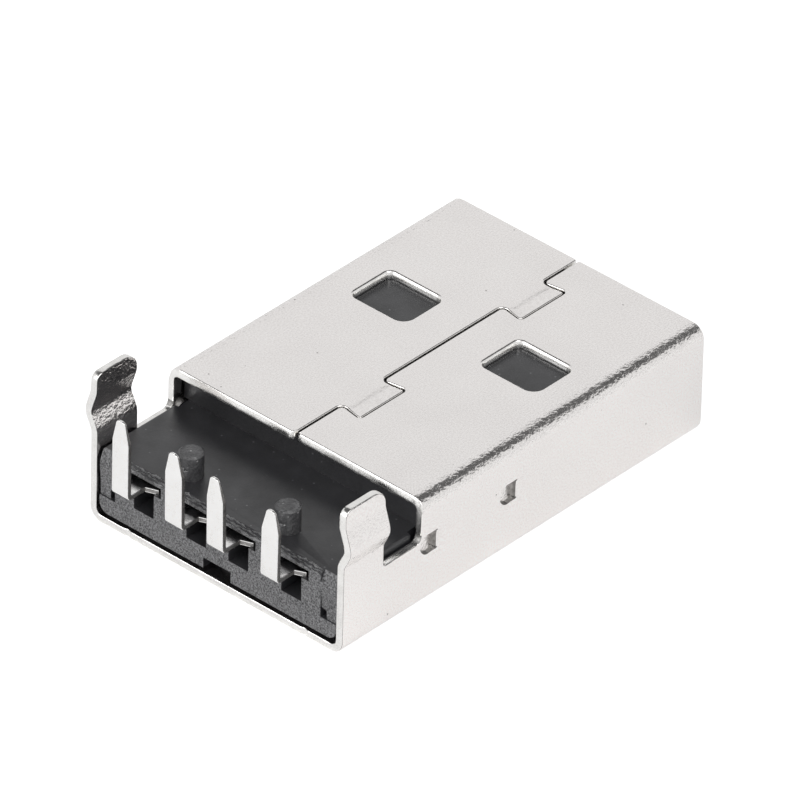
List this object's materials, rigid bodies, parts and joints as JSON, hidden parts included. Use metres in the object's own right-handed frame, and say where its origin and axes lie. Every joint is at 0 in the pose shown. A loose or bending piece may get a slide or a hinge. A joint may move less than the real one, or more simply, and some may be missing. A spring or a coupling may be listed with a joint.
{
  "type": "usb-a plug",
  "caption": "Board-mount type A plug: folded sheet shell with two legs round a moulded insulator with bent contacts and board pegs.",
  "frame": {"origin": "on the flat face of the shell, at the middle of the shell's length and width", "axes": "+X towards the mouth, +Y to the left of someone looking out of the mouth, +Z from the flat face to the face with the seam, which is the way that the pins and pegs point"},
  "size_m": [0.0197, 0.0126, 0.0061],
  "materials": {
    "shell_plate": "nickel plated sheet with a fine matte grain",
    "contact_plate": "bright tin plated copper alloy",
    "black_plastic": "moulded glass-filled thermoplastic, matte"
  },
  "bodies": {
    "root": {"shell": "shell_plate", "insulator": "black_plastic", "power_contact": "contact_plate", "data_minus_contact": "contact_plate", "data_plus_contact": "contact_plate", "ground_contact": "contact_plate"}
  },
  "joints": []
}
